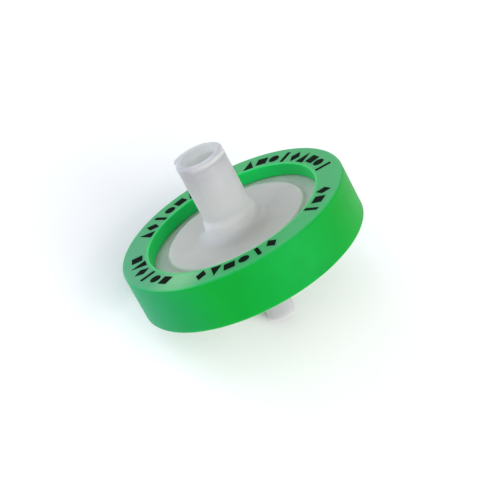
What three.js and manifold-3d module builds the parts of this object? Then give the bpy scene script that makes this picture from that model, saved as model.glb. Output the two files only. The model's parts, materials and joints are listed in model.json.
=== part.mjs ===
// Disposable syringe filter, 33 mm: two natural polypropylene housings clamp a prefilter and a membrane,
// and a green ring is moulded round their edges. Millimetres, +Z up.
//
// Each piece is drawn in the filter's own frame: the axis is Z, the inlet points up, and height 0 is the
// middle of the ring. The finished filter then lies on a table as it comes to rest when put down, on the
// ring's lower edge and the tip of its nozzle.

import * as THREE from "three";
import { mergeVertices } from "three/addons/utils/BufferGeometryUtils.js";
import Module from "manifold-3d";

const wasm = await Module();
wasm.setup();

// ---- Driving dimensions ----

// Clear gap left between two pieces that touch.
const GAP = 0.3;

// Growth of a Luer cone's radius for each millimetre along its axis (a 6% cone).
const LUER_CONE = 0.03;

// Facets round each kind of piece. Multiples of 4, so that one facet faces straight down at rest.
const RING_FACETS = 72;
const HOUSING_FACETS = 60;

const ring = {
  radius: 16.5,
  height: 7.1,
  lipRadius: 12.5, // radius of the opening, at the ring's face
  lipDraft: 0.15, // how much narrower the opening is at its foot
  edge: 0.35, // rounding of the outer edges
};

const disc = {
  flangeRadius: 14.6,
  flangeFace: 1.75, // height of the flange's outer face
  raisedRadius: 10.05,
  raisedFace: 2.35, // height of the raised middle's outer face
  step: 0.2, // slope of the step round the raised middle
  landRadius: 12.0, // inside this the disc is hollowed for the liquid
  rimRadius: 13.4, // inside of the welded rim
  chamberDepth: 0.4,
};

// Heights of the filter stack, from the inlet side down.
const prefilter = { radius: 13.1, top: 0.5, thickness: 0.35 };
const membrane = { radius: 13.1, thickness: 0.15 };

const inlet = {
  mouth: 13.6, // height of the tube's open end
  radius: 3.4,
  boreRadius: 2.15, // female Luer socket at its mouth
  leadInRadius: 2.7,
  leadInDepth: 0.9,
  socketDepth: 9.0,
  throatRadius: 1.2,
  throatCone: 0.5, // height of the cone that narrows the socket to the throat
  collarRadius: 3.85,
  collarHeight: 2.4, // above the raised face
  collarFillet: 1.2, // at its foot
  collarEdge: 0.4, // at its top
};

// Each lug climbs out of the tube as a spiral, keeps its full radius for a while and ends square. Its section is
// a thread's: thin at its crest, and thicker at the tube.
const lug = {
  startRadius: 3.45,
  endRadius: 4.2,
  start: THREE.MathUtils.degToRad(104), // where the first lug begins, anticlockwise from +X
  climb: THREE.MathUtils.degToRad(63), // how far it takes to climb
  span: THREE.MathUtils.degToRad(98),
  crest: 0.3, // thickness at its full radius
  base: 1.0, // thickness at the tube
  steps: 14,
};

const inletRibs = { count: 12, width: 0.6, from: 3.0, to: 12.3 };

const nozzle = {
  tip: -12.75, // height of the nozzle's end
  radius: 1.98,
  edge: 0.15,
  length: 8.3,
  boreRadius: 1.05,
  collarRadius: 3.5,
  collarHeight: 2.1, // below the raised face
  collarFillet: 0.6,
};

const support = { rings: [4.0, 6.4, 8.8, 11.2], ringWidth: 0.7, channelDepth: 0.5 };
const drains = { count: 8, width: 0.9, from: 0.6, to: 11.9 };

// ---- Helpers ----

// A point of a profile: distance from the axis, and height along it.
const at = (radius, height) => new THREE.Vector2(radius, height);

// Distance from the axis to the middle of a facet whose corners lie at `radius`.
const flatRadius = (radius, facets) => radius * Math.cos(Math.PI / facets);

// Points of a quarter-round between a start angle and an end angle, centred on (radius, height).
function roundCorner(radius, height, size, fromAngle, toAngle, steps) {
  const points = [];
  for (let i = 0; i <= steps; i += 1) {
    const angle = THREE.MathUtils.degToRad(fromAngle + ((toAngle - fromAngle) * i) / steps);
    points.push(at(radius + size * Math.cos(angle), height + size * Math.sin(angle)));
  }
  return points;
}

// Solid of revolution round Z. The profile runs anticlockwise in the (radius, height) plane.
function revolve(profile, facets) {
  const geometry = new THREE.LatheGeometry(profile, facets, Math.PI / facets);
  geometry.rotateX(Math.PI / 2);
  return geometry;
}

function toSolid(geometry) {
  const bare = new THREE.BufferGeometry();
  const flat = geometry.index ? geometry.toNonIndexed() : geometry;
  bare.setAttribute("position", flat.getAttribute("position"));
  const merged = mergeVertices(bare, 1e-4);
  return new wasm.Manifold(
    new wasm.Mesh({
      numProp: 3,
      vertProperties: merged.getAttribute("position").array,
      triVerts: new Uint32Array(merged.index.array),
    }),
  );
}

function toGeometry(solid) {
  const mesh = solid.getMesh();
  const geometry = new THREE.BufferGeometry();
  geometry.setAttribute("position", new THREE.BufferAttribute(mesh.vertProperties, 3));
  geometry.setIndex(new THREE.BufferAttribute(mesh.triVerts, 1));
  return geometry;
}

// A bar that runs outwards from the axis at the given angle, between two heights.
function radialBar(angle, from, to, width, bottom, top) {
  const bar = new THREE.BoxGeometry(to - from, width, top - bottom);
  bar.translate((from + to) / 2, 0, (bottom + top) / 2);
  bar.rotateZ(angle);
  return bar;
}

// Bars spread evenly round the axis, as one list of solids.
function radialBars({ count, width, from, to }, bottom, top) {
  const bars = [];
  for (let i = 0; i < count; i += 1) {
    bars.push(toSolid(radialBar((i * 2 * Math.PI) / count, from, to, width, bottom, top)));
  }
  return bars;
}

// ---- Green overmoulded ring ----

const ringFace = ring.height / 2;

// The ring's two rounded outer edges, as three points each.
const lowerEdge = roundCorner(ring.radius - ring.edge, ring.edge - ringFace, ring.edge, -90, 0, 2);
const upperEdge = roundCorner(ring.radius - ring.edge, ringFace - ring.edge, ring.edge, 0, 90, 2);

function ringGeometry() {
  const pocketFace = disc.flangeFace + GAP;
  const pocketRadius = disc.flangeRadius + GAP;
  const footRadius = ring.lipRadius - ring.lipDraft;
  const profile = [
    at(footRadius, -pocketFace),
    at(ring.lipRadius, -ringFace),
    ...lowerEdge,
    ...upperEdge,
    at(ring.lipRadius, ringFace),
    at(footRadius, pocketFace),
    at(pocketRadius, pocketFace),
    at(pocketRadius, -pocketFace),
    at(footRadius, -pocketFace),
  ];
  return revolve(profile, RING_FACETS);
}

// ---- Inlet housing ----

// Height of the face that presses on the prefilter.
const inletLand = prefilter.top + GAP;

function inletProfile() {
  const socketEnd = inlet.mouth - inlet.leadInDepth - inlet.socketDepth;
  const socketEndRadius = inlet.boreRadius - LUER_CONE * inlet.socketDepth;
  const collarTop = disc.raisedFace + inlet.collarHeight;
  const filletRadius = inlet.collarRadius + inlet.collarFillet;
  const chamberTop = inletLand + disc.chamberDepth;
  return [
    at(inlet.throatRadius, chamberTop),
    at(disc.landRadius, chamberTop),
    at(disc.landRadius, inletLand),
    at(disc.rimRadius, inletLand),
    at(disc.rimRadius, GAP / 2),
    at(disc.flangeRadius, GAP / 2),
    at(disc.flangeRadius, disc.flangeFace),
    at(disc.raisedRadius + disc.step, disc.flangeFace),
    at(disc.raisedRadius, disc.raisedFace),
    ...roundCorner(filletRadius, disc.raisedFace + inlet.collarFillet, inlet.collarFillet, 270, 180, 3),
    at(inlet.collarRadius, collarTop - inlet.collarEdge),
    at(inlet.collarRadius - inlet.collarEdge, collarTop),
    at(inlet.radius, collarTop),
    at(inlet.radius, inlet.mouth),
    at(inlet.leadInRadius, inlet.mouth),
    at(inlet.boreRadius, inlet.mouth - inlet.leadInDepth),
    at(socketEndRadius, socketEnd),
    at(inlet.throatRadius, socketEnd - inlet.throatCone),
    at(inlet.throatRadius, chamberTop),
  ];
}

// What a lug's sloped underside leaves clear, all the way round the tube.
function lugClearance() {
  const slope = (lug.base - lug.crest) / (lug.endRadius - inlet.radius);
  const outerRadius = lug.endRadius + GAP;
  const bottom = inlet.mouth - lug.base - GAP;
  const profile = [
    at(inlet.radius, bottom),
    at(outerRadius, bottom),
    at(outerRadius, inlet.mouth - lug.crest + slope * GAP),
    at(inlet.radius, inlet.mouth - lug.base),
    at(inlet.radius, bottom),
  ];
  return toSolid(revolve(profile, HOUSING_FACETS));
}

// One locking lug: a sector of a ring, flush with the mouth, whose outer edge is the spiral.
function lugSolid(start) {
  const end = start + lug.span;
  const innerRadius = (inlet.radius + inlet.leadInRadius) / 2;
  const outline = new THREE.Shape();
  for (let i = 0; i <= lug.steps; i += 1) {
    const turn = (lug.span * i) / lug.steps;
    const radius = THREE.MathUtils.lerp(lug.startRadius, lug.endRadius, Math.min(turn / lug.climb, 1));
    const point = [radius * Math.cos(start + turn), radius * Math.sin(start + turn)];
    if (i === 0) {
      outline.moveTo(...point);
    } else {
      outline.lineTo(...point);
    }
  }
  outline.absarc(0, 0, innerRadius, end, start, true);
  const shape = { depth: lug.base, bevelEnabled: false, curveSegments: lug.steps };
  const sector = new THREE.ExtrudeGeometry(outline, shape);
  sector.translate(0, 0, inlet.mouth - lug.base);
  return toSolid(sector).subtract(lugClearance());
}

function inletGeometry() {
  let housing = toSolid(revolve(inletProfile(), HOUSING_FACETS));
  for (const rib of radialBars(inletRibs, inletLand, inletLand + disc.chamberDepth + GAP)) {
    housing = housing.add(rib);
  }
  for (const start of [lug.start, lug.start + Math.PI]) {
    housing = housing.add(lugSolid(start));
  }
  return toGeometry(housing);
}

// ---- Filter discs ----

function plainDisc({ radius, thickness }, top) {
  const bottom = top - thickness;
  const profile = [at(0, bottom), at(radius, bottom), at(radius, top), at(0, top)];
  return revolve(profile, HOUSING_FACETS);
}

const membraneTop = prefilter.top - prefilter.thickness - GAP;

// ---- Outlet housing ----

// Height of the face that carries the membrane.
const outletLand = membraneTop - membrane.thickness - GAP;

// Concentric rings that stand in the drained hollow, level with the land, from the axis outwards.
function supportProfile(floor) {
  const points = [];
  for (const radius of support.rings) {
    points.push(at(radius, floor));
    points.push(at(radius, outletLand));
    points.push(at(radius + support.ringWidth, outletLand));
    points.push(at(radius + support.ringWidth, floor));
  }
  return points;
}

function outletProfile() {
  const collarBottom = -disc.raisedFace - nozzle.collarHeight;
  const filletRadius = nozzle.collarRadius + nozzle.collarFillet;
  const coneBase = nozzle.tip + nozzle.length;
  const coneBaseRadius = nozzle.radius + LUER_CONE * nozzle.length;
  const floor = outletLand - support.channelDepth;
  const outwards = [
    at(nozzle.boreRadius, floor),
    ...supportProfile(floor),
    at(disc.landRadius, floor),
    at(disc.landRadius, outletLand),
    at(disc.rimRadius, outletLand),
    at(disc.rimRadius, -GAP / 2),
    at(disc.flangeRadius, -GAP / 2),
    at(disc.flangeRadius, -disc.flangeFace),
    at(disc.raisedRadius + disc.step, -disc.flangeFace),
    at(disc.raisedRadius, -disc.raisedFace),
    ...roundCorner(filletRadius, -disc.raisedFace - nozzle.collarFillet, nozzle.collarFillet, 90, 180, 3),
    at(nozzle.collarRadius, collarBottom),
    at(coneBaseRadius, coneBase),
    at(nozzle.radius, nozzle.tip + nozzle.edge),
    at(nozzle.radius - nozzle.edge, nozzle.tip),
    at(nozzle.boreRadius, nozzle.tip),
    at(nozzle.boreRadius, floor),
  ];
  return outwards.reverse();
}

function outletGeometry() {
  let housing = toSolid(revolve(outletProfile(), HOUSING_FACETS));
  const floor = outletLand - support.channelDepth;
  for (const drain of radialBars(drains, floor, outletLand + GAP)) {
    housing = housing.subtract(drain);
  }
  return toGeometry(housing);
}

// ---- Materials and pieces ----

const plastic = (color, roughness) => new THREE.MeshStandardMaterial({ color, roughness, metalness: 0 });

const naturalPolypropylene = plastic(0xc6c8c8, 0.35);
const greenPolypropylene = plastic(0x1fae4c, 0.4);
const glassFibre = plastic(0xf4f3ee, 0.95);
const membraneWhite = plastic(0xfbfbf8, 0.8);

function piece(name, geometry, material) {
  const mesh = new THREE.Mesh(geometry, material);
  mesh.name = name;
  return mesh;
}

const filter = new THREE.Group();
filter.add(
  piece("overmould_ring", ringGeometry(), greenPolypropylene),
  piece("inlet_housing", inletGeometry(), naturalPolypropylene),
  piece("prefilter_disc", plainDisc(prefilter, prefilter.top), glassFibre),
  piece("membrane_disc", plainDisc(membrane, membraneTop), membraneWhite),
  piece("outlet_housing", outletGeometry(), naturalPolypropylene),
);

// ---- Rest position ----

// The filter leans until the line under the middle of the ring's lower edge and the nozzle's tip is level.
const ringFoot = lowerEdge[1];
const footReach = flatRadius(ringFoot.x, RING_FACETS);
const tipReach = flatRadius(nozzle.radius - nozzle.edge, HOUSING_FACETS);
const lean = Math.atan((ringFoot.y - nozzle.tip) / (footReach - tipReach));
filter.rotation.y = -lean;

const part = new THREE.Group();
part.add(filter);
const bounds = new THREE.Box3().setFromObject(part, true);
const middle = bounds.getCenter(new THREE.Vector3());
filter.position.set(-middle.x, -middle.y, -bounds.min.z);

export default part;
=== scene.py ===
"""A disposable 33 mm syringe filter, lying on a table on the edge of its ring and the tip of its nozzle.

Every size is in millimetres in the filter's own frame: the axis is Z, the inlet points up, and height 0 is
the middle of the ring. FilterPose turns those millimetres into the row frame's metres, so each finished piece
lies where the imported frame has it.
"""

import json
import logging
import math
from abc import ABC, abstractmethod
from collections.abc import Callable, Sequence
from dataclasses import dataclass, replace
from enum import Enum
from typing import Any

import bmesh
import bpy
from bpy.types import ID, Material, Mesh, NodeSocket, NodeTree, Object
from mathutils import Matrix, Vector

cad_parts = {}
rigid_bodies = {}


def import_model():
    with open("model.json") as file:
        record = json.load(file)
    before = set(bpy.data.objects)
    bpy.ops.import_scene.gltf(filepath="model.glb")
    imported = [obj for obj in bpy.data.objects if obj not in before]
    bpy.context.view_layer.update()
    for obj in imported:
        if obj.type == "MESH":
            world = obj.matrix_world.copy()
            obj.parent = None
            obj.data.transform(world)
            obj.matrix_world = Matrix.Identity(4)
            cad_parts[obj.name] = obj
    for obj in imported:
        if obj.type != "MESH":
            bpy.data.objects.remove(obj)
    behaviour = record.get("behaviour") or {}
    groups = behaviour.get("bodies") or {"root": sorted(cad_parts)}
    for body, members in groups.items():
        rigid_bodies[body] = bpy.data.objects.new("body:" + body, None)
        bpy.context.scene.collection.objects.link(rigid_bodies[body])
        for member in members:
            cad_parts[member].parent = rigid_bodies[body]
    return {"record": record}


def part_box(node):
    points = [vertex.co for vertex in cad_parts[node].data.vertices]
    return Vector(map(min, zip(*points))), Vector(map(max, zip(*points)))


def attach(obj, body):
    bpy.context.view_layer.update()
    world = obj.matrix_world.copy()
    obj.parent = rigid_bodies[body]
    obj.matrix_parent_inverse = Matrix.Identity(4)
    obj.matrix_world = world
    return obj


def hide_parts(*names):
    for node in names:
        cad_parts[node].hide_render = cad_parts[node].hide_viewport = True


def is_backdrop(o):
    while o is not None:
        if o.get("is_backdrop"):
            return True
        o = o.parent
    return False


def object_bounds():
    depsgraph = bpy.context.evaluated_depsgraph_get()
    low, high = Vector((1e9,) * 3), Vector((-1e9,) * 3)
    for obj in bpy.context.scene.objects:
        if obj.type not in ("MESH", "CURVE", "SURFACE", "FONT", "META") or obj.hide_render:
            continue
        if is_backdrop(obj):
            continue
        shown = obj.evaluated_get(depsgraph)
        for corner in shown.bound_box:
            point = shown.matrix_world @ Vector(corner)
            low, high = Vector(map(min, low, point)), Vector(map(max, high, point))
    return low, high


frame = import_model()

MM = 0.001
BODY = "root"

POLYPROPYLENE_IOR = 1.49
WELD_MM = 1e-5  # points closer than this become one
EMPTY_MM = 1e-6  # edges shorter than this are dropped, with the faces that they leave empty
SHARP_EDGE = math.radians(35)  # edges sharper than this stay crisp when shaded

# The sRGB curve: a straight foot up to the knee, and a power above it.
SRGB_KNEE = 0.04045
SRGB_FOOT = 12.92
SRGB_OFFSET = 0.055
SRGB_POWER = 2.4

# Sockets of the node that mixes colours, by number, since several of them share a name.
MIX_SHARE, MIX_LOW, MIX_HIGH, MIX_RESULT = 0, 6, 7, 2

FULL_RANGE = (0.0, 1.0)
FADING_OUT = (1.0, 0.0)  # all of it at the start, none at the end
COMMON_RANGE = (0.3, 0.7)  # where most of a grain's values lie

Outline = list[tuple[float, float]]
Point = tuple[float, float, float]
Range = tuple[float, float]
Colour = str | NodeSocket  # six hex digits, or a socket that carries it

log = logging.getLogger("syringe_filter")


# ---- Small helpers ----


def linear(hex_code: str) -> tuple[float, float, float, float]:
    """Turns an sRGB hex colour into linear light.

    Args:
        hex_code: Six hex digits, such as "19a648".

    Returns:
        Red, green, blue and an alpha of 1.
    """
    channels = []
    for value in bytes.fromhex(hex_code):
        share = value / 255
        curved = ((share + SRGB_OFFSET) / (1 + SRGB_OFFSET)) ** SRGB_POWER
        channels.append(share / SRGB_FOOT if share <= SRGB_KNEE else curved)
    return (*channels, 1.0)


def direction(azimuth: float, elevation: float) -> Vector:
    """Gives the unit vector towards an azimuth and an elevation, in degrees."""
    turn, rise = math.radians(azimuth), math.radians(elevation)
    return Vector((math.cos(turn) * math.cos(rise), math.sin(turn) * math.cos(rise), math.sin(rise)))


def round_axis(radius: float, degrees: float, height: float) -> Point:
    """Gives the point at a distance from the axis, an angle round it and a height."""
    turn = math.radians(degrees)
    return (radius * math.cos(turn), radius * math.sin(turn), height)


def smooth_step(share: float) -> float:
    """Eases from 0 to 1, flat at both ends."""
    share = min(max(share, 0.0), 1.0)
    return share * share * (3 - 2 * share)


def soft_limit(value: float, limit: float, ease: float) -> float:
    """Gives the value up to a limit, with the corner between the two rounded off.

    Args:
        value: The value.
        limit: What it is kept under.
        ease: Distance from the limit over which the corner is rounded.

    Returns:
        The smaller of the two, a little less near the corner.
    """
    if value <= limit - ease:
        return value
    if value >= limit + ease:
        return limit
    return value - (value - limit + ease) ** 2 / (4 * ease)


def add_node(
    tree: NodeTree,
    kind: str,
    inputs: dict[str | int, Any] | Sequence[Any] = (),
    output: str | int = 0,
    **settings: Any,
) -> NodeSocket | None:
    """Adds a node, sets its properties, and fills or links its inputs.

    Args:
        tree: The node tree of a material, the world or a shape.
        kind: Blender's type name of the node.
        inputs: A plain value or another node's output for each input, by name or number, or in order.
        output: The output that is wanted, by name or number.
        settings: The node's own properties.

    Returns:
        That output, or None from a node that ends its tree.
    """
    node = tree.nodes.new(kind)
    for name, value in settings.items():
        setattr(node, name, value)
    pairs = inputs.items() if isinstance(inputs, dict) else enumerate(inputs)
    for socket, value in pairs:
        if isinstance(value, NodeSocket):
            tree.links.new(value, node.inputs[socket])
        else:
            node.inputs[socket].default_value = value
    return node.outputs[output] if node.outputs else None


@dataclass(frozen=True)
class FilterPose:
    """Where the filter lies in the row frame.

    Args:
        centre: Middle of the ring, in metres.
        axis: Unit vector from the nozzle towards the inlet.
    """

    centre: Vector
    axis: Vector

    @classmethod
    def from_frame(cls, record: dict[str, Any]) -> "FilterPose":
        """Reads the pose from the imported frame.

        Args:
            record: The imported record, whose inlet mount gives the axis.

        Returns:
            The pose of the filter at rest.
        """
        low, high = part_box("overmould_ring")
        mounts = {mount["name"]: mount for mount in record["mounts"]}
        return cls((low + high) / 2, Vector(mounts["inlet_mouth"]["axis"]).normalized())

    def rotation(self) -> Matrix:
        """Gives the 3 by 3 matrix whose columns are the filter's own axes."""
        across = Vector((0, 1, 0))
        forward = across.cross(self.axis).normalized()
        return Matrix((forward, across, self.axis)).transposed()

    def matrix(self) -> Matrix:
        """Gives the 4 by 4 matrix from the filter's millimetres to the row frame's metres."""
        return Matrix.Translation(self.centre) @ self.rotation().to_4x4() @ Matrix.Scale(MM, 4)


# ---- Turned outlines and meshes ----


@dataclass(frozen=True)
class Corner:
    """One corner of a turned outline.

    Args:
        radius: Distance from the axis.
        height: Height along the axis.
        rounding: Radius of the fillet or round at this corner.
    """

    radius: float
    height: float
    rounding: float = 0.0


@dataclass(frozen=True)
class Rounder:
    """Rounds the corners of a closed outline.

    Args:
        steps: Straight bits in each rounded corner.
        support: Distance from a round to the extra point that keeps the face beside it flat when shaded.
    """

    steps: int = 7
    support: float = 0.04

    def outline(self, corners: Sequence[Corner]) -> Outline:
        """Rounds every corner in turn.

        Args:
            corners: The corners of the closed outline, in order.

        Returns:
            Points as (radius, height).
        """
        points: Outline = []
        for index, corner in enumerate(corners):
            points += self.corner_points(corners[index - 1], corner, corners[(index + 1) % len(corners)])
        return points

    def corner_points(self, before: Corner, corner: Corner, after: Corner) -> Outline:
        """Gives the points that stand for one corner.

        Args:
            before: The corner before it.
            corner: The corner to round.
            after: The corner after it.

        Returns:
            The corner itself, or the arc that rounds it with a support point on each long side.
        """
        if corner.rounding == 0:
            return [(corner.radius, corner.height)]
        tip = Vector((corner.radius, corner.height))
        back = Vector((before.radius, before.height)) - tip
        ahead = Vector((after.radius, after.height)) - tip
        toward_back, toward_ahead = back.normalized(), ahead.normalized()
        opening = back.angle(ahead)
        trim = corner.rounding / math.tan(opening / 2)
        middle = tip + (toward_back + toward_ahead).normalized() * (corner.rounding / math.sin(opening / 2))
        start = tip + toward_back * trim - middle
        end = tip + toward_ahead * trim - middle
        sweep = math.pi - opening
        points = []
        if back.length > 2 * (trim + self.support):
            points.append(tip + toward_back * (trim + self.support))
        for step in range(self.steps + 1):
            turned = sweep * step / self.steps
            blend = start * math.sin(sweep - turned) + end * math.sin(turned)
            points.append(middle + blend / math.sin(sweep))
        if ahead.length > 2 * (trim + self.support):
            points.append(tip + toward_ahead * (trim + self.support))
        return [(point.x, point.y) for point in points]


def even_angles(count: int) -> list[float]:
    """Gives that many angles, spread evenly round the axis."""
    return [2 * math.pi * index / count for index in range(count)]


def new_object(name: str, data: ID) -> Object:
    """Puts a mesh, a light or a camera in the scene under the given name."""
    item = bpy.data.objects.new(name, data)
    bpy.context.scene.collection.objects.link(item)
    return item


def clean(mesh: Mesh) -> None:
    """Merges doubled points, drops empty faces and turns every face outwards.

    Args:
        mesh: A closed mesh in millimetres.
    """
    work = bmesh.new()
    work.from_mesh(mesh)
    bmesh.ops.remove_doubles(work, verts=work.verts, dist=WELD_MM)
    bmesh.ops.dissolve_degenerate(work, edges=work.edges, dist=EMPTY_MM)
    bmesh.ops.recalc_face_normals(work, faces=work.faces)
    work.to_mesh(mesh)
    work.free()


def revolve(
    name: str, column: Callable[[float], Outline], angles: Sequence[float], material: Material
) -> Object:
    """Turns a closed outline round the axis into a closed mesh.

    Args:
        name: Name of the object and its mesh.
        column: Gives the outline at an angle. Every outline has the same number of points.
        angles: Where the columns stand round the axis, in order.
        material: What it is made of.

    Returns:
        The new object, in the filter's frame.

    Raises:
        ValueError: If the outlines have different numbers of points.
    """
    outlines = [column(angle) for angle in angles]
    rows = len(outlines[0])
    if any(len(outline) != rows for outline in outlines):
        raise ValueError(f"{name}: the outlines have different numbers of points")
    vertices = [
        (radius * math.cos(angle), radius * math.sin(angle), height)
        for angle, outline in zip(angles, outlines)
        for radius, height in outline
    ]
    faces = []
    for here in range(len(angles)):
        there = (here + 1) % len(angles)
        for row in range(rows):
            above = (row + 1) % rows
            faces.append((here * rows + row, there * rows + row, there * rows + above, here * rows + above))
    mesh = bpy.data.meshes.new(name)
    mesh.from_pydata(vertices, [], faces)
    mesh.materials.append(material)
    clean(mesh)
    return new_object(name, mesh)


def turn_solid(name: str, outline: Outline, columns: int, material: Material) -> Object:
    """Turns one outline all the way round the axis, the same at every angle."""
    return revolve(name, lambda angle: outline, even_angles(columns), material)


def bake_modifiers(piece: Object) -> None:
    """Turns what a piece's modifiers make into its plain mesh, and removes them.

    Args:
        piece: The object to bake.
    """
    evaluated = piece.evaluated_get(bpy.context.evaluated_depsgraph_get())
    baked = bpy.data.meshes.new_from_object(evaluated)
    baked.name = piece.name
    piece.modifiers.clear()
    piece.data = baked


class Joining(Enum):
    """How a second solid changes the first."""

    FUSE = "UNION"
    CARVE = "DIFFERENCE"


def combine(piece: Object, tool: Object, joining: Joining) -> None:
    """Fuses or carves one closed mesh with another, then removes the second.

    Args:
        piece: The mesh that is kept and changed.
        tool: The mesh that is added to it or cut from it.
        joining: Which of the two is done.
    """
    modifier = piece.modifiers.new("Combine", "BOOLEAN")
    modifier.object = tool
    modifier.operation = joining.value
    modifier.solver = "EXACT"
    bake_modifiers(piece)
    bpy.data.objects.remove(tool)
    clean(piece.data)


# ---- Node trees for what repeats ----


class NodeForm:
    """A Geometry Nodes tree with named inputs, one of which is Finish, that shapes objects."""

    def __init__(self, name: str, inputs: dict[str, str]) -> None:
        """Starts a tree that gives a geometry.

        Args:
            name: The tree's name.
            inputs: The type of each named input, such as "Float".
        """
        self.tree = bpy.data.node_groups.new(name, "GeometryNodeTree")
        add_socket = self.tree.interface.new_socket
        add_socket("Geometry", in_out="INPUT", socket_type="NodeSocketGeometry")
        add_socket("Geometry", in_out="OUTPUT", socket_type="NodeSocketGeometry")
        inputs = {**inputs, "Finish": "Material"}
        self.identifiers = {
            label: add_socket(label, in_out="INPUT", socket_type=f"NodeSocket{kind}").identifier
            for label, kind in inputs.items()
        }
        self.given = self.tree.nodes.new("NodeGroupInput").outputs

    def place(self, inputs: dict[str, Any]) -> None:
        """Ends the tree with real geometry in one material, placed on points.

        Args:
            inputs: What is placed, on which points and how it is turned.
        """
        placed = add_node(self.tree, "GeometryNodeInstanceOnPoints", inputs)
        real = add_node(self.tree, "GeometryNodeRealizeInstances", [placed])
        finish = {"Geometry": real, "Material": self.given["Finish"]}
        dressed = add_node(self.tree, "GeometryNodeSetMaterial", finish)
        add_node(self.tree, "NodeGroupOutput", [dressed])

    def make(self, name: str, values: dict[str, Any]) -> Object:
        """Makes one object with the tree, as a plain mesh.

        Args:
            name: The object's name.
            values: The value of each named input.

        Returns:
            The new object.
        """
        piece = new_object(name, bpy.data.meshes.new(name))
        modifier = piece.modifiers.new(self.tree.name, "NODES")
        modifier.node_group = self.tree
        for label, identifier in self.identifiers.items():
            modifier[identifier] = values[label]
        bake_modifiers(piece)
        return piece


@dataclass(frozen=True)
class RadialBars:
    """Equal bars that stand round the axis like spokes.

    Args:
        count: Number of bars.
        width: Width of each.
        reach: Distances from the axis between which they run.
    """

    count: int
    width: float
    reach: Range

    def form(self) -> NodeForm:
        """Builds the tree that sets the bars round the axis.

        Returns:
            The tree, which takes their number and one bar's size and middle.
        """
        form = NodeForm("Radial bars", {"Count": "Int", "Bar Size": "Vector", "Bar Centre": "Vector"})
        tree, given = form.tree, form.given
        bar = add_node(tree, "GeometryNodeMeshCube", {"Size": given["Bar Size"]})
        index = add_node(tree, "GeometryNodeInputIndex")
        pitch = add_node(tree, "ShaderNodeMath", [2 * math.pi, given["Count"]], operation="DIVIDE")
        turn = add_node(tree, "ShaderNodeMath", [index, pitch], operation="MULTIPLY")
        move = {"Geometry": bar, "Translation": given["Bar Centre"]}
        form.place(
            {
                "Points": add_node(tree, "GeometryNodePoints", {"Count": given["Count"]}),
                "Instance": add_node(tree, "GeometryNodeTransform", move),
                "Rotation": add_node(tree, "ShaderNodeCombineXYZ", {"Z": turn}),
            }
        )
        return form

    def build(self, name: str, low: float, high: float, material: Material) -> Object:
        """Makes the bars.

        Args:
            name: The object's name.
            low: Height of their undersides.
            high: Height of their tops.
            material: Their material.

        Returns:
            The bars, as one object.
        """
        inner, outer = self.reach
        values = {
            "Count": self.count,
            "Bar Size": (outer - inner, self.width, high - low),
            "Bar Centre": ((inner + outer) / 2, 0.0, (high + low) / 2),
            "Finish": material,
        }
        return self.form().make(name, values)


def printed_row_form() -> NodeForm:
    """Builds the tree that sets marks along an arc, each turned to stand outwards.

    Returns:
        The tree, which takes the marks, their order, their number, and the arc they stand on.
    """
    whole = dict.fromkeys(("Mark Kinds", "First Mark", "Stride", "Count"), "Int")
    real = dict.fromkeys(("Radius", "First Angle", "Pitch", "Face Height"), "Float")
    form = NodeForm("Printed row", {"Marks": "Collection", **whole, **real})
    tree, given = form.tree, form.given
    index = add_node(tree, "GeometryNodeInputIndex")
    turned = add_node(tree, "ShaderNodeMath", [index, given["Pitch"]], operation="MULTIPLY")
    angle = add_node(tree, "ShaderNodeMath", [given["First Angle"], turned], operation="ADD")
    cosine = add_node(tree, "ShaderNodeMath", [angle], operation="COSINE")
    sine = add_node(tree, "ShaderNodeMath", [angle], operation="SINE")
    spot = {
        "X": add_node(tree, "ShaderNodeMath", [given["Radius"], cosine], operation="MULTIPLY"),
        "Y": add_node(tree, "ShaderNodeMath", [given["Radius"], sine], operation="MULTIPLY"),
        "Z": given["Face Height"],
    }
    line = {"Count": given["Count"], "Position": add_node(tree, "ShaderNodeCombineXYZ", spot)}
    upright = add_node(tree, "ShaderNodeMath", [angle, math.pi / 2], operation="SUBTRACT")
    stepped = add_node(tree, "ShaderNodeMath", [index, given["Stride"]], operation="MULTIPLY")
    step = add_node(tree, "ShaderNodeMath", [given["First Mark"], stepped], operation="ADD")
    kind = [step, given["Mark Kinds"]]
    source = {"Collection": given["Marks"], "Separate Children": True}
    form.place(
        {
            "Points": add_node(tree, "GeometryNodePoints", line),
            "Instance": add_node(tree, "GeometryNodeCollectionInfo", source),
            "Pick Instance": True,
            "Instance Index": add_node(tree, "ShaderNodeMath", kind, operation="FLOORED_MODULO"),
            "Rotation": add_node(tree, "ShaderNodeCombineXYZ", {"Z": upright}),
        }
    )
    return form


# ---- Finishes ----


@dataclass(frozen=True)
class Grain:
    """A soft random pattern that the making of a surface leaves in it.

    Args:
        size_mm: Rough width of one patch.
        depth_mm: Height between its lows and its highs.
        detail: How many finer layers it has.
    """

    size_mm: float
    depth_mm: float = 0.0
    detail: float = 2.0


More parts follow.
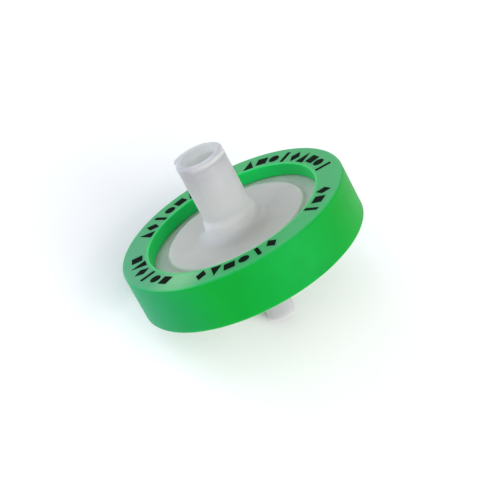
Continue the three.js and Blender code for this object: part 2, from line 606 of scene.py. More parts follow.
class Surface:
    """One material under construction, with the filter's own millimetres for its patterns."""

    def __init__(self, name: str, pose: FilterPose) -> None:
        """Starts a material with the coordinates that its patterns read.

        Args:
            name: The material's name.
            pose: Where the filter lies.
        """
        self.material = bpy.data.materials.new(name)
        self.material.use_nodes = True
        self.tree = self.material.node_tree
        self.tree.nodes.clear()
        inputs = {
            "Vector": add_node(self.tree, "ShaderNodeTexCoord", output="Object"),
            "Location": pose.centre,
            "Rotation": pose.rotation().to_euler(),
            "Scale": (MM, MM, MM),
        }
        self.place = add_node(self.tree, "ShaderNodeMapping", inputs, vector_type="TEXTURE")

    def height(self) -> NodeSocket:
        """Gives the distance from the filter's middle plane, in millimetres, the same on both sides of it."""
        height = add_node(self.tree, "ShaderNodeSeparateXYZ", [self.place], "Z")
        return add_node(self.tree, "ShaderNodeMath", [height], operation="ABSOLUTE")

    def radius(self) -> NodeSocket:
        """Gives the distance from the filter's axis, in millimetres."""
        flat = add_node(self.tree, "ShaderNodeVectorMath", [self.place, (1, 1, 0)], operation="MULTIPLY")
        return add_node(self.tree, "ShaderNodeVectorMath", [flat], "Value", operation="LENGTH")

    def distance(self, point: Point) -> NodeSocket:
        """Gives the distance from one point of the filter, in millimetres."""
        return add_node(self.tree, "ShaderNodeVectorMath", [self.place, point], "Value", operation="DISTANCE")

    def pattern(self, grain: Grain) -> NodeSocket:
        """Gives a grain's pattern at its real size, from 0 to 1."""
        inputs = {"Vector": self.place, "Scale": 1 / grain.size_mm, "Detail": grain.detail}
        return add_node(self.tree, "ShaderNodeTexNoise", inputs)

    def fade(
        self, value: NodeSocket, over: Range, low: Colour, high: Colour, shares: Range = FULL_RANGE
    ) -> NodeSocket:
        """Turns one colour into another as a distance or a pattern grows.

        Args:
            value: The distance or the pattern.
            over: Where the change starts and ends.
            low: The first colour.
            high: The second colour.
            shares: How much of the second colour there is at the start and at the end.

        Returns:
            The mixed colour.
        """
        first, second = (linear(colour) if isinstance(colour, str) else colour for colour in (low, high))
        share = add_node(self.tree, "ShaderNodeMapRange", [value, *over, *shares])
        inputs = {MIX_SHARE: share, MIX_LOW: first, MIX_HIGH: second}
        return add_node(self.tree, "ShaderNodeMix", inputs, MIX_RESULT, data_type="RGBA")

    def relief(self, *grains: Grain) -> NodeSocket:
        """Gives the surface's fine relief.

        Args:
            grains: The patterns that stand in it, one upon the other.

        Returns:
            The directions that the relief faces.
        """
        inputs: dict[str, Any] = {}
        for grain in grains:
            inputs |= {"Height": self.pattern(grain), "Distance": grain.depth_mm * MM}
            inputs["Normal"] = add_node(self.tree, "ShaderNodeBump", inputs)
        return inputs["Normal"]


class Finish(ABC):
    """A real material with the surface that it was given.

    Attributes:
        name: Its common name, and how its surface was made.
    """

    name: str

    @abstractmethod
    def inputs(self, surface: Surface) -> dict[str, Any]:
        """Gives a plain value or a pattern for each of the shader's inputs."""

    def material(self, pose: FilterPose) -> Material:
        """Makes the material, with its patterns centred on the filter.

        Args:
            pose: Where the filter lies.

        Returns:
            The material.
        """
        surface = Surface(self.name, pose)
        shader = add_node(surface.tree, "ShaderNodeBsdfPrincipled", self.inputs(surface))
        add_node(surface.tree, "ShaderNodeOutputMaterial", [shader])
        return surface.material


@dataclass(frozen=True)
class Milkiness:
    """How light spreads inside a plastic.

    Args:
        share: How much of the light goes in.
        spread: How far red, green and blue go, as shares of the depth.
        depth_mm: How far the colour that goes farthest does.
    """

    share: float
    spread: Point
    depth_mm: float

    def inputs(self) -> dict[str, Any]:
        """Gives the shader's inputs."""
        scale = self.depth_mm * MM
        return {"Subsurface Weight": self.share, "Subsurface Radius": self.spread, "Subsurface Scale": scale}


@dataclass(frozen=True)
class GreenPolypropylene(Finish):
    """Green polypropylene, moulded over the housings in a mould with a fine spark-eroded face.

    The pigment flows into faint lighter and darker patches, and the mould's face leaves a satin sheen. The
    two flat faces are a little smoother, and painted paler than the side as a painted reflection of the light
    above.
    A cooler band on the left is a painted reflection of bluish light, a pale patch on the inlet face is a
    painted highlight, and the thin inner lip is painted brighter as a painted glow of light coming through
    it.

    Args:
        dark: The colour of the darker patches on the side.
        light: The colour of the lighter ones.
        face: The colour of the two flat faces, painted paler than the side as a painted reflection.
        reflected_blue_side: The side's colour in the painted reflection of bluish light.
        reflected_blue_face: The faces' colour in the painted reflection of bluish light.
        painted_highlight: The colour of the painted highlight on the inlet face.
        lip: The colour of the thin lip at the inner edge, painted brighter as a painted glow of light through
            it.
        face_mm: Heights from the middle plane over which the side's colour turns to the face's painted paler
            colour.
        lip_glow_mm: Distances from the axis over which the lip's painted glow turns to the rest's colour.
        reflection_centre: Where the painted reflection's middle lies.
        reflection_mm: Distances from its middle over which the painted reflection fades.
        highlight_centre: Where the painted highlight's middle lies.
        highlight_mm: Distances from its middle over which the painted highlight fades.
        highlight_share: How much of the painted highlight's colour shows at its middle.
        roughness: The faces' roughness, from the grain's lows to its highs.
        side_roughness: How much rougher the side is.
        flow: The patches of pigment.
        sink: The soft hollows that the plastic sets with.
        grain: What the mould's face leaves.
        gloss: How strongly it mirrors.
        gloss_tint: The colour of what it mirrors head on.
        milkiness: How light spreads inside it.
    """

    name = "green_polypropylene_moulded"
    dark: str = "008b18"
    light: str = "00961f"
    # painted reflection: the flat faces are painted paler than the side
    face: str = "22a04e"
    # painted reflection of bluish light, on the side and on the faces
    reflected_blue_side: str = "009258"
    reflected_blue_face: str = "3c9c64"
    # painted highlight on the inlet face
    painted_highlight: str = "84c888"
    # painted glow of light through the thin lip
    lip: str = "1aba54"
    face_mm: Range = (3.3, 3.5)
    lip_glow_mm: Range = (12.6, 13.0)
    # middle of the painted bluish reflection, on the left of the side
    reflection_centre: Point = round_axis(16.5, 233.3, 0.0)
    reflection_mm: Range = (6.0, 18.0)
    # middle of the painted highlight, on the inlet face
    highlight_centre: Point = round_axis(13.8, 279.3, 3.55)
    highlight_mm: Range = (1.0, 5.0)
    highlight_share: float = 0.6
    roughness: Range = (0.34, 0.42)
    side_roughness: float = 0.14
    flow: Grain = Grain(6.0)
    sink: Grain = Grain(2.2, depth_mm=0.008)
    grain: Grain = Grain(0.16, depth_mm=0.0012)  # coarser than the real one, which is too fine to show
    gloss: float = 0.34
    gloss_tint: str = "7cb8f3"
    milkiness: Milkiness = Milkiness(0.7, (0.15, 1.0, 0.4), depth_mm=1.2)

    def inputs(self, surface: Surface) -> dict[str, Any]:
        """Gives the satin green plastic.

        Args:
            surface: The material under construction.

        Returns:
            The shader's inputs.
        """
        height, from_reflection = surface.height(), surface.distance(self.reflection_centre)
        side = surface.fade(surface.pattern(self.flow), COMMON_RANGE, self.dark, self.light)
        # painted reflection of bluish light, fading away from its middle
        side = surface.fade(from_reflection, self.reflection_mm, side, self.reflected_blue_side, FADING_OUT)
        face = surface.fade(from_reflection, self.reflection_mm, self.face, self.reflected_blue_face, FADING_OUT)
        # painted highlight, fading away from its middle
        from_highlight = surface.distance(self.highlight_centre)
        face = surface.fade(from_highlight, self.highlight_mm, face, self.painted_highlight, (self.highlight_share, 0.0))
        # painted reflection: the faces get their paler colour here
        body = surface.fade(height, self.face_mm, side, face)
        grain = [surface.pattern(self.grain), *COMMON_RANGE, *self.roughness]
        extra = [height, *self.face_mm, self.side_roughness, 0.0]
        rough = [add_node(surface.tree, "ShaderNodeMapRange", inputs) for inputs in (grain, extra)]
        return {
            # painted glow at the thin lip
            "Base Color": surface.fade(surface.radius(), self.lip_glow_mm, self.lip, body),
            "Roughness": add_node(surface.tree, "ShaderNodeMath", rough, operation="ADD"),
            "Normal": surface.relief(self.sink, self.grain),
            "IOR": POLYPROPYLENE_IOR,
            "Specular IOR Level": self.gloss,
            "Specular Tint": linear(self.gloss_tint),
            **self.milkiness.inputs(),
        }


@dataclass(frozen=True)
class NaturalPolypropylene(Finish):
    """Uncoloured polypropylene from a polished mould.

    It is milky: light goes in and spreads before it comes out, so edges glow and shadows are soft. Light and
    shade are painted into its colours: the tube is painted darker towards its mouth and the nozzle's tip and
    lighter at its foot, its inside is painted brighter as a glow of light through its wall, the disc is
    painted greyer as shade in the ring's hollow, and the flange is painted green as light that the green ring
    bounces.

    Args:
        thick: The colour of the tube's foot, painted lighter against the shade that falls there.
        mouth: The colour of the tube's mouth and of the nozzle's tip, painted darker as painted shade.
        bore: The colour inside the tube, painted brighter as a painted glow of light through its wall.
        thin: The colour of the disc, painted greyer as painted shade in the ring's hollow.
        rim: The flange's colour next to the ring, painted green as green light that the ring bounces and lets
            through.
        bore_glow_to_mm: Distances from the axis over which the bore's painted glow turns to the tube's
            colour.
        mouth_shade_from_mm: Heights from the middle plane over which the foot's colour turns to the mouth's
            painted shade.
        disc_shade_from_mm: Distances from the axis over which the tube's colour turns to the disc's painted
            shade.
        green_bounce_from_mm: Distances over which the disc's colour turns to the rim's painted green light.
        cloud: The milkier and the clearer patches.
        cloud_shade: How much darker the milkiest patches are.
        roughness: Its roughness, from the clearest patches to the milkiest.
        ripple: What the mould's face leaves.
        gloss: How strongly it mirrors.
        milkiness: How light spreads inside it.
    """

    name = "natural_polypropylene_moulded"
    # painted light: the foot is painted lighter against the shade that falls there
    thick: str = "d2d0d2"
    # painted shade at the tube's mouth and the nozzle's tip
    mouth: str = "97979b"
    # painted glow of light through the wall, inside the bore
    bore: str = "b6bbbb"
    # painted shade on the disc, in the ring's hollow
    thin: str = "b4b4ab"
    # painted green light that the ring bounces onto the flange
    rim: str = "b0e2ae"
    bore_glow_to_mm: Range = (2.2, 2.9)
    mouth_shade_from_mm: Range = (3.0, 13.0)
    disc_shade_from_mm: Range = (3.6, 5.6)
    green_bounce_from_mm: Range = (9.7, 12.2)
    cloud: Grain = Grain(3.5)
    cloud_shade: float = 0.06
    roughness: Range = (0.3, 0.38)
    ripple: Grain = Grain(2.5, depth_mm=0.003)
    gloss: float = 0.12
    milkiness: Milkiness = Milkiness(1.0, (1.0, 0.95, 0.9), depth_mm=7.0)

    def inputs(self, surface: Surface) -> dict[str, Any]:
        """Gives the milky plastic.

        Args:
            surface: The material under construction.

        Returns:
            The shader's inputs.
        """
        radius, cloud = surface.radius(), surface.pattern(self.cloud)
        # painted shade: darker towards the mouth and the nozzle's tip, lighter at the foot
        outside = surface.fade(surface.height(), self.mouth_shade_from_mm, self.thick, self.mouth)
        # painted glow inside the bore
        tube = surface.fade(radius, self.bore_glow_to_mm, self.bore, outside)
        # painted shade on the disc
        body = surface.fade(radius, self.disc_shade_from_mm, tube, self.thin)
        # painted green light on the flange near the ring
        green_bounce_tinted = surface.fade(radius, self.green_bounce_from_mm, body, self.rim)
        rough = [cloud, *FULL_RANGE, *self.roughness]
        return {
            "Base Color": surface.fade(cloud, COMMON_RANGE, green_bounce_tinted, "000000", (0.0, self.cloud_shade)),
            "Roughness": add_node(surface.tree, "ShaderNodeMapRange", rough),
            "Normal": surface.relief(self.ripple),
            "IOR": POLYPROPYLENE_IOR,
            "Specular IOR Level": self.gloss,
            **self.milkiness.inputs(),
        }


@dataclass(frozen=True)
class PrintingInk(Finish):
    """Black pad-printing ink, a thin coat that dries a little uneven.

    It lies just proud of the plastic and shines less than it, with the plastic's grain showing through.

    Args:
        black: The colour where it lies thick.
        thin: The colour where it lies thin.
        thin_from: Where in the mottle it turns from thick to thin.
        roughness: Its roughness, from the mottle's lows to its highs.
        mottle: The uneven coat.
        gloss: How strongly it mirrors.
    """

    name = "pad_printing_ink"
    black: str = "060a07"
    thin: str = "0d1c0f"
    thin_from: Range = (0.35, 0.7)
    roughness: Range = (0.42, 0.55)
    mottle: Grain = Grain(0.3, depth_mm=0.0015)
    gloss: float = 0.008

    def inputs(self, surface: Surface) -> dict[str, Any]:
        """Gives the printed black.

        Args:
            surface: The material under construction.

        Returns:
            The shader's inputs.
        """
        mottle = surface.pattern(self.mottle)
        rough = [mottle, *COMMON_RANGE, *self.roughness]
        return {
            "Base Color": surface.fade(mottle, self.thin_from, self.black, self.thin),
            "Roughness": add_node(surface.tree, "ShaderNodeMapRange", rough),
            "Normal": surface.relief(self.mottle),
            "Specular IOR Level": self.gloss,
        }


@dataclass(frozen=True)
class FilterSheet(Finish):
    """A sheet of filter medium, felted or cast, dull and nearly white.

    Args:
        name: Common name of the medium, with how it was made.
        pale: The colour of most of it.
        shaded: The colour between its fibres or pores.
        fibre: Its fibres or groups of pores.
        pale_from: Where in their pattern it turns from shaded to pale.
        roughness: Its roughness.
    """

    name: str
    pale: str
    shaded: str
    fibre: Grain
    pale_from: Range = (0.35, 0.65)
    roughness: float = 0.9

    def inputs(self, surface: Surface) -> dict[str, Any]:
        """Gives the dull fibrous white.

        Args:
            surface: The material under construction.

        Returns:
            The shader's inputs.
        """
        fibres = surface.pattern(self.fibre)
        return {
            "Base Color": surface.fade(fibres, self.pale_from, self.shaded, self.pale),
            "Roughness": self.roughness,
            "Normal": surface.relief(self.fibre),
        }


@dataclass(frozen=True)
class BackdropPaper(Finish):
    """Matt paper for the floor, pale, even and faintly fibrous.

    Args:
        colour: Its colour.
        roughness: Its roughness.
        gloss: How strongly it mirrors.
        fibre: Its fibres.
    """

    name = "matt_backdrop_paper"
    colour: str = "f4f5f6"
    roughness: float = 0.85
    gloss: float = 0.2
    fibre: Grain = Grain(1.2, depth_mm=0.004, detail=3.0)

    def inputs(self, surface: Surface) -> dict[str, Any]:
        """Gives the matt paper.

        Args:
            surface: The material under construction.

        Returns:
            The shader's inputs.
        """
        return {
            "Base Color": linear(self.colour),
            "Roughness": self.roughness,
            "Normal": surface.relief(self.fibre),
            "Specular IOR Level": self.gloss,
        }


NATURAL = NaturalPolypropylene()
# the nozzle's narrower bore gets the painted glow
NATURAL_NARROW_BORE = replace(NATURAL, bore_glow_to_mm=(1.05, 1.15))  # for the nozzle
GLASS_FIBRE = FilterSheet("glass_fibre_felted", "f4f2ea", "dfdcd2", Grain(0.4, depth_mm=0.02, detail=4.0))
MEMBRANE = FilterSheet("membrane_cast", "fbfbf8", "f0f0ec", Grain(0.15, depth_mm=0.004, detail=4.0))


# ---- The filter's pieces ----


class Piece(ABC):
    """One piece of the filter.

    Attributes:
        slot: The record's material slot; not used.
        node: The CAD node that it replaces, or nothing.
    """

    slot: str
    node: str

    @abstractmethod
    def shape(self, material: Material) -> Object:
        """Makes the piece in the filter's frame, with its material."""

    def build(self, pose: FilterPose, finish: Finish) -> Object:
        """Makes the piece, lays it in the row frame, hangs it on the filter's body and hides the CAD node it
        replaces.

        Args:
            pose: Where the filter lies.
            finish: What it is made of.

        Returns:
            The finished piece.
        """
        piece = self.shape(finish.material(pose))
        piece.data.transform(pose.matrix())
        piece.data.polygons.foreach_set("use_smooth", [True] * len(piece.data.polygons))
        piece.data.set_sharp_from_angle(angle=SHARP_EDGE)
        piece.data.update()
        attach(piece, BODY)
        if self.node:
            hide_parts(self.node)
        return piece


@dataclass
class OvermouldRing(Piece):
    """The green ring, moulded round the edges of both housings. It has two equal faces."""

    slot = "green_polypropylene"
    node = "overmould_ring"
    radius: float = 16.5
    face: float = 3.55  # height of the outer faces, above and below the middle
    lip_radius: float = 12.5
    lip_draft: float = 0.15
    edge_round: float = 0.35
    lip_round: float = 0.14
    pocket_face: float = 1.77
    pocket_radius: float = 14.62
    columns: int = 288

    def corners(self) -> list[Corner]:
        """Gives the section's corners.

        Returns:
            The corners, from the foot of the lower lip round the outside.
        """
        foot = self.lip_radius - self.lip_draft
        return [
            Corner(foot, -self.pocket_face),
            Corner(self.lip_radius, -self.face, self.lip_round),
            Corner(self.radius, -self.face, self.edge_round),
            Corner(self.radius, self.face, self.edge_round),
            Corner(self.lip_radius, self.face, self.lip_round),
            Corner(foot, self.pocket_face),
            Corner(self.pocket_radius, self.pocket_face),
            Corner(self.pocket_radius, -self.pocket_face),
        ]

    def shape(self, material: Material) -> Object:
        """Makes the ring, in one turn of its section."""
        return turn_solid("green_ring", Rounder().outline(self.corners()), self.columns, material)


@dataclass
class HousingDisc:
    """The disc that both housings share: a flange, a raised middle and a hollow over the filter discs."""

    flange_radius: float = 14.6
    flange_face: float = 1.75
    flange_round: float = 0.1
    raised_radius: float = 10.05
    raised_face: float = 2.35
    step: float = 0.2
    step_round: float = 0.45
    land_radius: float = 12.0
    rim_radius: float = 13.4
    weld_height: float = 0.02  # half the gap between the two housings, where they are welded

    def outside(self, side: int) -> list[Corner]:
        """Gives the corners from the weld outwards and over the outer face.

        Args:
            side: 1 above the filter discs, -1 below them.

        Returns:
            The corners, from the rim's inside to the raised face's edge.
        """
        return [
            Corner(self.rim_radius, side * self.weld_height),
            Corner(self.flange_radius, side * self.weld_height),
            Corner(self.flange_radius, side * self.flange_face, self.flange_round),
            Corner(self.raised_radius + self.step, side * self.flange_face, self.step_round),
            Corner(self.raised_radius, side * self.raised_face, self.step_round),
        ]


@dataclass
class LockingLugs:
    """Two lugs on the inlet's mouth that a syringe's threaded collar turns under.

    Each climbs out of the tube as a spiral, keeps its full height for a while and ends square. Its section is
    a thread's: thin at its crest, and thicker at the tube.
    """

    height: float = 0.8  # how far the lug stands out of the tube
    start_height: float = 0.05  # the same where it starts
    first: float = math.radians(104)
    climb: float = math.radians(63)
    span: float = math.radians(98)
    crest: float = 0.3  # depth of its underside below the mouth, at the crest
    base: float = 1.0  # the same at the tube
    ease: float = 0.15
    flat: float = 1e-4  # a height under this counts as none
    start_width: float = math.radians(12)
    end_width: float = math.radians(3)
    end_columns: int = 8
    flank_shares: tuple[float, ...] = (0, 0.06, 0.14, 0.24, 0.36, 0.5, 0.64, 0.76, 0.86, 0.94, 1)

    def rise(self, angle: float) -> float:
        """Gives how far the lug stands out of the tube at an angle.

        Args:
            angle: Angle round the axis.

        Returns:
            0 between the lugs, and on them a height that grows up to the full one.
        """
        turn = (angle - self.first) % math.pi
        climbed = min(turn / self.climb, 1.0)
        height = self.start_height + (self.height - self.start_height) * climbed
        height *= smooth_step(turn / self.start_width)
        return height * smooth_step((self.span - turn) / self.end_width)

    def flank(self, rise: float) -> Outline:
        """Gives the lug's sloped underside, where it stands out that far.

        Args:
            rise: How far the lug stands out of the tube.

        Returns:
            Points as (distance out of the tube, depth below the mouth), from the tube to the crest.
        """
        ease = min(rise / 2, self.ease)
        return [
            (
                soft_limit(self.height * share, rise, ease) if rise > self.flat else 0.0,
                self.base - (self.base - self.crest) * share,
            )
            for share in self.flank_shares
        ]

    def angles(self, count: int) -> list[float]:
        """Spreads columns round the axis, with closer ones at the lugs' ends.

        Args:
            count: Columns away from the lugs' ends.

        Returns:
            The angles, in order.
        """
        close = []
        for lug_end in (self.first + self.span, self.first + self.span + math.pi):
            for step in range(self.end_columns + 1):
                close.append((lug_end - self.end_width * step / self.end_columns) % (2 * math.pi))
        spacing = self.end_width / self.end_columns
        wide = [angle for angle in even_angles(count) if min(abs(angle - other) for other in close) > spacing]
        return sorted(wide + close)


@dataclass
class InletHousing(Piece):
    """The inlet side: a disc with a collar and a female Luer lock tube, moulded in one piece."""

    slot = "natural_polypropylene"
    node = "inlet_housing"
    disc: HousingDisc
    lugs: LockingLugs
    land: float = 0.8
    ceiling: float = 1.2
    tube_radius: float = 3.4
    mouth: float = 13.6
    mouth_round: float = 0.25
    lead_in_radius: float = 2.7
    lead_in_depth: float = 0.9
    lead_in_round: float = 0.15
    bore_radius: float = 2.15
    bore_round: float = 0.5
    socket_end_radius: float = 1.88
    socket_end: float = 4.15
    throat_radius: float = 1.2
    throat_top: float = 3.65
    throat_round: float = 0.1
    collar_radius: float = 3.82
    collar_shoulder: float = 4.15
    collar_top: float = 5.05
    collar_round: float = 0.7
    collar_fillet: float = 1.4
    ribs: RadialBars = RadialBars(12, width=0.6, reach=(3.0, 12.3))
    columns: int = 216

    def column(self, angle: float) -> Outline:
        """Gives the section at an angle.

        Args:
            angle: Angle round the axis.

        Returns:
            The closed outline, from the throat's foot over the disc and the tube and back down the bore.
        """
        rise = self.lugs.rise(angle)
        corners = [
            Corner(self.throat_radius, self.ceiling),
            Corner(self.disc.land_radius, self.ceiling),
            Corner(self.disc.land_radius, self.land),
            Corner(self.disc.rim_radius, self.land),
            *self.disc.outside(1),
            Corner(self.collar_radius, self.disc.raised_face, self.collar_fillet),
            Corner(self.collar_radius, self.collar_shoulder, self.collar_round),
            Corner(self.tube_radius, self.collar_top, self.collar_round),
            *[Corner(self.tube_radius + out, self.mouth - depth) for out, depth in self.lugs.flank(rise)],
            Corner(self.tube_radius + rise, self.mouth, self.mouth_round),
            Corner(self.lead_in_radius, self.mouth, self.lead_in_round),
            Corner(self.bore_radius, self.mouth - self.lead_in_depth, self.bore_round),
            Corner(self.socket_end_radius, self.socket_end, self.throat_round),
            Corner(self.throat_radius, self.throat_top, self.throat_round),
        ]
        return Rounder().outline(corners)

    def shape(self, material: Material) -> Object:
        """Makes the housing, with the ribs that spread the liquid under its disc.

        Args:
            material: The plastic.

        Returns:
            The housing, in the filter's frame.
        """
        piece = revolve("inlet_moulding", self.column, self.lugs.angles(self.columns), material)
        top = (self.ceiling + self.disc.flange_face) / 2
        combine(piece, self.ribs.build("inlet_ribs", self.land, top, material), Joining.FUSE)
        return piece


@dataclass
class OutletHousing(Piece):
    """The outlet side: a drained disc with a collar and a male Luer slip nozzle, moulded in one piece."""

    slot = "natural_polypropylene"
    node = "outlet_housing"
    disc: HousingDisc
    land: float = -0.6
    floor: float = -1.1
    tip: float = -12.75
    tip_radius: float = 1.98
    tip_round: float = 0.15
    cone_base: float = -4.45
    cone_base_radius: float = 2.229
    cone_fillet: float = 0.15
    bore_radius: float = 1.05
    bore_round: float = 0.08
    collar_radius: float = 3.5
    collar_fillet: float = 0.6
    collar_round: float = 0.3
    support_rings: tuple[float, ...] = (4.0, 6.4, 8.8, 11.2)
    ring_width: float = 0.7
    drains: RadialBars = RadialBars(8, width=0.9, reach=(3.6, 11.95))
    columns: int = 240

    def corners(self) -> list[Corner]:
        """Gives the section's corners.

        Returns:
            The corners, from the bore over the support rings, the disc and the nozzle.
        """
        supports = []
        for radius in self.support_rings:
            outer = radius + self.ring_width
            supports += [Corner(radius, self.floor), Corner(radius, self.land)]
            supports += [Corner(outer, self.land), Corner(outer, self.floor)]
        return [
            Corner(self.bore_radius, self.floor),
            *supports,
            Corner(self.disc.land_radius, self.floor),
            Corner(self.disc.land_radius, self.land),
            Corner(self.disc.rim_radius, self.land),
            *self.disc.outside(-1),
            Corner(self.collar_radius, -self.disc.raised_face, self.collar_fillet),
            Corner(self.collar_radius, self.cone_base, self.collar_round),
            Corner(self.cone_base_radius, self.cone_base, self.cone_fillet),
            Corner(self.tip_radius, self.tip, self.tip_round),
            Corner(self.bore_radius, self.tip, self.bore_round),
        ]

    def shape(self, material: Material) -> Object:
        """Makes the housing, with the drains that lead through its support rings.

        Args:
            material: The plastic.

        Returns:
            The housing, in the filter's frame.
        """
        outline = Rounder().outline(self.corners())
        piece = turn_solid("outlet_moulding", outline, self.columns, material)
        top = self.land + self.disc.weld_height
        combine(piece, self.drains.build("outlet_drains", self.floor, top, material), Joining.CARVE)
        return piece


@dataclass
class FilterDisc(Piece):
    """A punched disc of filter medium, clamped between the housings."""

    name: str
    node: str
    slot: str
    top: float
    thickness: float
    radius: float = 13.1
    edge_round: float = 0.03
    round_steps: int = 3
    columns: int = 192

    def shape(self, material: Material) -> Object:
        """Makes the disc.

        Args:
            material: The filter medium.

        Returns:
            The disc, in the filter's frame.
        """
        bottom = self.top - self.thickness
        corners = [
            Corner(0.0, bottom),
            Corner(self.radius, bottom, self.edge_round),
            Corner(self.radius, self.top, self.edge_round),
            Corner(0.0, self.top),
        ]
        return turn_solid(self.name, Rounder(self.round_steps).outline(corners), self.columns, material)


class Mark(Enum):
    """The plain shapes that are printed on the ring."""

    BAR = 0
    SQUARE = 1
    DIAMOND = 2
    DISC = 3
    TRIANGLE = 4


@dataclass(frozen=True)
class MarkRow:
    """One row of marks along the ring's face.

    Args:
        first: Angle of the first mark, in degrees from the filter's X axis.
        last: Angle of the last one.
        count: Number of marks.
        start: Which kind of mark comes first.
        stride: How many kinds lie between one mark and the next.
    """

    first: float
    last: float
    count: int
    start: Mark
    stride: int


@dataclass
class PrintedMarks(Piece):
    """Rows of plain black shapes, pad-printed on the ring's inlet face."""

    slot = "black_ink"
    node = ""
    face: float
    radius: float = 14.15
    height: float = 2.3
    width: float = 1.6
    stroke: float = 0.6
    ink: float = 0.02  # how far the ink stands proud, and how far it is sunk in
    dot_corners: int = 20
    rows: tuple[MarkRow, ...] = (
        MarkRow(55, 120, 9, Mark.BAR, 3),
        MarkRow(133, 198, 9, Mark.DISC, 2),
        MarkRow(225, 269, 6, Mark.SQUARE, 3),
        MarkRow(294, 336, 6, Mark.DIAMOND, 2),
        MarkRow(367, 385, 3, Mark.BAR, 1),
    )

    def outline(self, mark: Mark) -> Outline:
        """Gives the corners of one mark, across and outwards.

        Args:
            mark: Which mark.

        Returns:
            The corners, in order.
        """
        across, up, stroke = self.width / 2, self.height / 2, self.stroke / 2
        outlines = {
            Mark.BAR: [(-stroke, -up), (stroke, -up), (stroke, up), (-stroke, up)],
            Mark.SQUARE: [(-across, -across), (across, -across), (across, across), (-across, across)],
            Mark.DIAMOND: [(-across, 0), (0, -up), (across, 0), (0, up)],
            Mark.DISC: [(across * math.cos(a), across * math.sin(a)) for a in even_angles(self.dot_corners)],
            Mark.TRIANGLE: [(-across, -up), (across, -up), (0, up)],
        }
        return outlines[mark]

    def template(self, mark: Mark) -> Object:
        """Makes one mark as a thin closed solid, half sunk in the face it is printed on.

        Args:
            mark: Which mark.

        Returns:
            The mark's object, outside the scene.
        """
        work = bmesh.new()
        outline = self.outline(mark)
        bottom, top = ([work.verts.new((*point, z)) for point in outline] for z in (-self.ink, self.ink))
        work.faces.new(bottom)
        work.faces.new(top)
        for index in range(len(outline)):
            follow = (index + 1) % len(outline)
            work.faces.new((bottom[index], bottom[follow], top[follow], top[index]))
        bmesh.ops.recalc_face_normals(work, faces=work.faces)
        mesh = bpy.data.meshes.new(f"mark_{mark.value}")
        work.to_mesh(mesh)
        work.free()
        return bpy.data.objects.new(mesh.name, mesh)

    def shape(self, material: Material) -> Object:
        """Prints every row and joins them into one piece.

        Args:
            material: The ink.

        Returns:
            The print, in the filter's frame.
        """
        marks = bpy.data.collections.new("Printed marks")
        for mark in Mark:
            marks.objects.link(self.template(mark))
        form = printed_row_form()
        print_mesh = bmesh.new()
        for row in self.rows:
            values = {
                "Marks": marks,
                "Mark Kinds": len(Mark),
                "First Mark": row.start.value,
                "Stride": row.stride,
                "Count": row.count,
                "Radius": self.radius,
                "First Angle": math.radians(row.first),
                "Pitch": math.radians(row.last - row.first) / (row.count - 1),
                "Face Height": self.face,
                "Finish": material,
            }
            part = form.make("printed_row", values)
            print_mesh.from_mesh(part.data)
            bpy.data.objects.remove(part)
        for template in list(marks.objects):
            bpy.data.objects.remove(template)
        bpy.data.collections.remove(marks)
        mesh = bpy.data.meshes.new("printed_marks")
        print_mesh.to_mesh(mesh)
        print_mesh.free()
        mesh.materials.clear()  # also gives every face the first material
        mesh.materials.append(material)
        return new_object("printed_marks", mesh)


# ---- The studio ----


@dataclass(frozen=True)
class Softbox:
    """A large soft light, aimed at the filter.

    Args:
        name: The light's name.
        azimuth: Direction it stands in, in degrees from the row's X axis.
        elevation: How high it stands, in degrees.
        power: Its power, in watts.
        colour: Its colour.
        distance: How far it stands from the filter, in metres.
        size: Its width and height, in metres.
    """

    name: str
    azimuth: float
    elevation: float
    power: float
    colour: str = "ffffff"
    distance: float = 0.6
    size: float = 0.4

    def build(self, target: Vector) -> None:
        """Makes the light.

        Args:
            target: The point it is aimed at.
        """
        lamp = bpy.data.lights.new(self.name, "AREA")
        lamp.shape = "SQUARE"
        lamp.size = self.size
        lamp.energy = self.power
        lamp.color = linear(self.colour)[:3]
        light = new_object(self.name, lamp)
        outward = direction(self.azimuth, self.elevation)
        light.location = target + outward * self.distance
        light.rotation_euler = outward.to_track_quat("Z", "Y").to_euler()


@dataclass
class StudioCamera:
    """The camera, on a long lens, looking down on the filter from its open side.

    Args:
        azimuth: Direction it stands in, in degrees from the row's X axis.
        elevation: How high it stands, in degrees.
        distance: How far it stands from the filter, in metres.
        lens: Its focal length.
        aim_right: How far the view's middle lies to the right of the ring's middle.
        aim_up: How far it lies above it.
        clip: Nearest and farthest distance that it sees, in metres.
    """

    azimuth: float = -53.52
    elevation: float = 47.83
    distance: float = 0.30145
    lens: float = 160.34
    aim_right: float = 1.03
    aim_up: float = -1.62
    clip: Range = (0.01, 20.0)

    def build(self, target: Vector) -> None:
        """Makes the camera and gives it to the scene.

        Args:
            target: Middle of the ring.
        """
        outward = direction(self.azimuth, self.elevation)
        facing = outward.to_track_quat("Z", "Y")
        right, up = facing @ Vector((1, 0, 0)), facing @ Vector((0, 1, 0))
        lens = bpy.data.cameras.new("studio_camera")
        lens.lens = self.lens
        lens.clip_start, lens.clip_end = self.clip
        camera = new_object("studio_camera", lens)
        aim = target + (right * self.aim_right + up * self.aim_up) * MM
        camera.location = aim + outward * self.distance
        camera.rotation_euler = facing.to_euler()
        bpy.context.scene.camera = camera


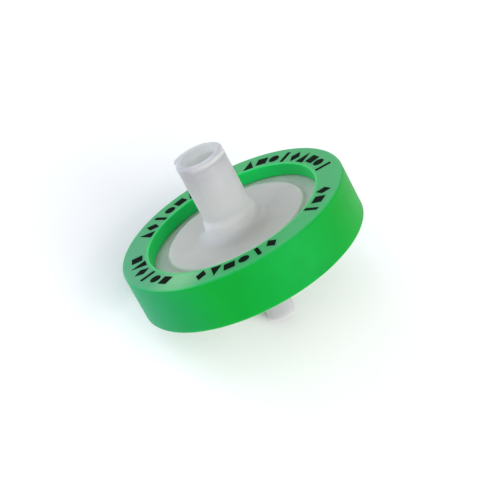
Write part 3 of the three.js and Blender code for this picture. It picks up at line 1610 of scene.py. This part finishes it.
@dataclass
class Studio:
    """A pale floor under soft light, and the camera."""

    floor_size: float = 3.0
    world_colour: str = "ffffff"
    world_strength: float = 0.36
    softboxes: tuple[Softbox, ...] = (
        Softbox("high_right_softbox", 0, 40, 1.2),
        Softbox("low_right_softbox", 10, 15, 1.38),
        Softbox("front_right_softbox", -25, 25, 1.65, "fffaf6"),
        Softbox("front_left_softbox", -105, 15, 1.1),
        Softbox("left_softbox", -150, 20, 0.8, "dfe8ff"),
        Softbox("back_left_softbox", 175, 25, 1.5, "dde7ff"),
        Softbox("back_softbox", 130, 15, 0.7),
        Softbox("top_softbox", -60, 75, 0.65),
    )

    def build(self, pose: FilterPose) -> None:
        """Makes the floor, the light and the camera.

        Args:
            pose: Where the filter lies.
        """
        self.build_floor(pose)
        self.build_world()
        for softbox in self.softboxes:
            softbox.build(pose.centre)
        StudioCamera().build(pose.centre)
        bpy.context.scene.view_settings.view_transform = "Standard"

    def build_floor(self, pose: FilterPose) -> None:
        """Makes the floor under the lowest point of the filter.

        Args:
            pose: Where the filter lies.
        """
        half = self.floor_size / 2
        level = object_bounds()[0].z
        mesh = bpy.data.meshes.new("studio_floor")
        corners = [(-half, -half, level), (half, -half, level), (half, half, level), (-half, half, level)]
        mesh.from_pydata(corners, [], [(0, 1, 2, 3)])
        floor = new_object("studio_floor", mesh)
        mesh.materials.append(BackdropPaper().material(pose))
        floor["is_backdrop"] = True

    def build_world(self) -> None:
        """Fills the room with even light."""
        world = bpy.data.worlds.new("studio_room")
        world.use_nodes = True
        world.node_tree.nodes.clear()
        inputs = {"Color": linear(self.world_colour), "Strength": self.world_strength}
        background = add_node(world.node_tree, "ShaderNodeBackground", inputs)
        add_node(world.node_tree, "ShaderNodeOutputWorld", [background])
        bpy.context.scene.world = world


# ---- The whole scene ----


def main() -> None:
    """Builds every piece of the filter, then the studio round it."""
    logging.basicConfig(level=logging.INFO, format="%(name)s: %(message)s")
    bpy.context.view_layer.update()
    pose = FilterPose.from_frame(frame["record"])
    ring, disc = OvermouldRing(), HousingDisc()
    prefilter = FilterDisc("prefilter_sheet", "prefilter_disc", "glass_fibre", top=0.5, thickness=0.35)
    membrane = FilterDisc("membrane_sheet", "membrane_disc", "membrane", top=-0.15, thickness=0.15)
    pieces = [
        ring.build(pose, GreenPolypropylene()),
        InletHousing(disc, LockingLugs()).build(pose, NATURAL),
        OutletHousing(disc).build(pose, NATURAL_NARROW_BORE),
        prefilter.build(pose, GLASS_FIBRE),
        membrane.build(pose, MEMBRANE),
        PrintedMarks(ring.face).build(pose, PrintingInk()),
    ]
    for piece in pieces:
        log.info("%s: %d faces", piece.name, len(piece.data.polygons))
    Studio().build(pose)


if __name__ == "__main__":
    main()
